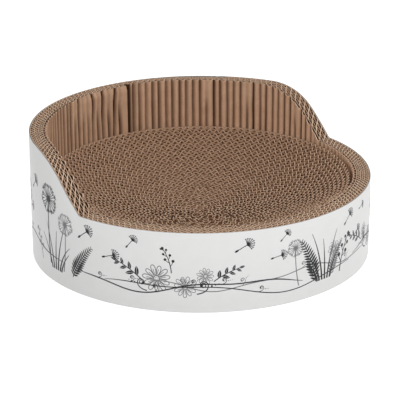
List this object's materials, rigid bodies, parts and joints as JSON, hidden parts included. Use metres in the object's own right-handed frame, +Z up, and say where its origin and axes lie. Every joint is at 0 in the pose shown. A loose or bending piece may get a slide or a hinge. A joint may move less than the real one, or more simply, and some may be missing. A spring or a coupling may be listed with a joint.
{
  "type": "cat scratcher",
  "caption": "Round cat scratcher and bed: a bowl-shaped pad of wound corrugated board that lifts out of a nest with a raised backrest and a printed board wrap.",
  "frame": {"origin": "centre of the underside, on the floor", "axes": "+Z up; the low front faces -Y and the backrest is at +Y; +X to the right seen from the front"},
  "size_m": [0.43, 0.43, 0.161],
  "materials": {
    "backrest_board": "bare kraft corrugated board, matt",
    "pad_board": "bare kraft corrugated board, matt, cut edges up",
    "printed_wrap": "white coated board with black line print, satin",
    "base_board": "grey board, matt"
  },
  "bodies": {
    "nest": {"base_board": "base_board", "outer_wrap": "printed_wrap", "backrest_strip_1": "backrest_board", "backrest_strip_2": "backrest_board", "backrest_strip_3": "backrest_board", "backrest_strip_4": "backrest_board"},
    "scratch_pad": {"pad_strip_01": "pad_board", "pad_strip_02": "pad_board", "pad_strip_03": "pad_board", "pad_strip_04": "pad_board", "pad_strip_05": "pad_board", "pad_strip_06": "pad_board", "pad_strip_07": "pad_board", "pad_strip_08": "pad_board", "pad_strip_09": "pad_board", "pad_strip_10": "pad_board", "pad_strip_11": "pad_board", "pad_strip_12": "pad_board", "pad_strip_13": "pad_board", "pad_strip_14": "pad_board", "pad_strip_15": "pad_board", "pad_strip_16": "pad_board", "pad_strip_17": "pad_board"}
  },
  "joints": [
    {"name": "pad_lift", "type": "slide", "parent": "nest", "child": "scratch_pad", "axis": [0, 0, 1], "range_m": [0, 0.165]}
  ]
}
